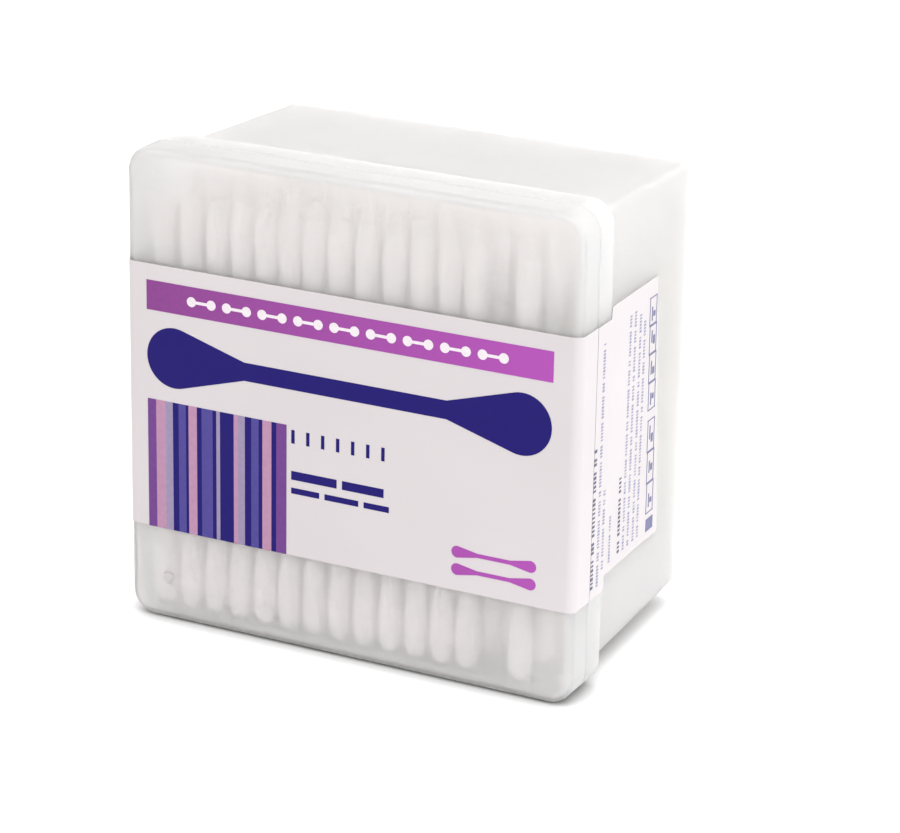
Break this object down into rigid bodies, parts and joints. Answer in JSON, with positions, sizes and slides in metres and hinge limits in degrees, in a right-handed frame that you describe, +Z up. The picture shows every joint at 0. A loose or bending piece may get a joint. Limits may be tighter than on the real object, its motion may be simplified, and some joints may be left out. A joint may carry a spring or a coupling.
{
  "type": "cotton swab tub",
  "caption": "Square frosted tub of upright paper-stick cotton swabs in nested rows, with a shallow pull-off lid and a printed band label, standing on its side.",
  "frame": {"origin": "under the middle of the pack, at the height of the rim's lowest edge", "axes": "+Z up along the swabs, -Y out of the lid's face, +X to the right as seen from the lid"},
  "size_m": [0.0823, 0.0509, 0.0817],
  "materials": {
    "frosted_plastic": "frosted, translucent",
    "label_film": "satin film",
    "ink_purple": "satin print",
    "ink_white": "satin print",
    "ink_plum": "satin print",
    "ink_pink": "satin print",
    "ink_lilac": "satin print",
    "ink_navy": "satin print",
    "ink_violet": "satin print",
    "paper_stick": "matte, rolled paper",
    "cotton": "matte, fibrous"
  },
  "bodies": {
    "tub": {"tub": "frosted_plastic", "label_left": "label_film", "label_right": "label_film", "print_sides": "ink_navy", "sticks_01": "paper_stick", "sticks_02": "paper_stick", "sticks_03": "paper_stick", "sticks_04": "paper_stick", "sticks_05": "paper_stick", "sticks_06": "paper_stick", "sticks_07": "paper_stick", "sticks_08": "paper_stick", "sticks_09": "paper_stick", "sticks_10": "paper_stick", "sticks_11": "paper_stick", "sticks_12": "paper_stick", "sticks_13": "paper_stick", "tips_01": "cotton", "tips_02": "cotton", "tips_03": "cotton", "tips_04": "cotton", "tips_05": "cotton", "tips_06": "cotton", "tips_07": "cotton", "tips_08": "cotton", "tips_09": "cotton", "tips_10": "cotton", "tips_11": "cotton", "tips_12": "cotton", "tips_13": "cotton"},
    "lid": {"lid": "frosted_plastic", "label_front": "label_film", "print_purple": "ink_purple", "print_white": "ink_white", "print_plum": "ink_plum", "print_pink": "ink_pink", "print_lilac": "ink_lilac", "print_navy": "ink_navy", "print_violet": "ink_violet"}
  },
  "joints": [
    {"name": "lid_pull", "type": "slide", "parent": "tub", "child": "lid", "axis": [0, -1, 0], "range_m": [0, 0.045]}
  ]
}
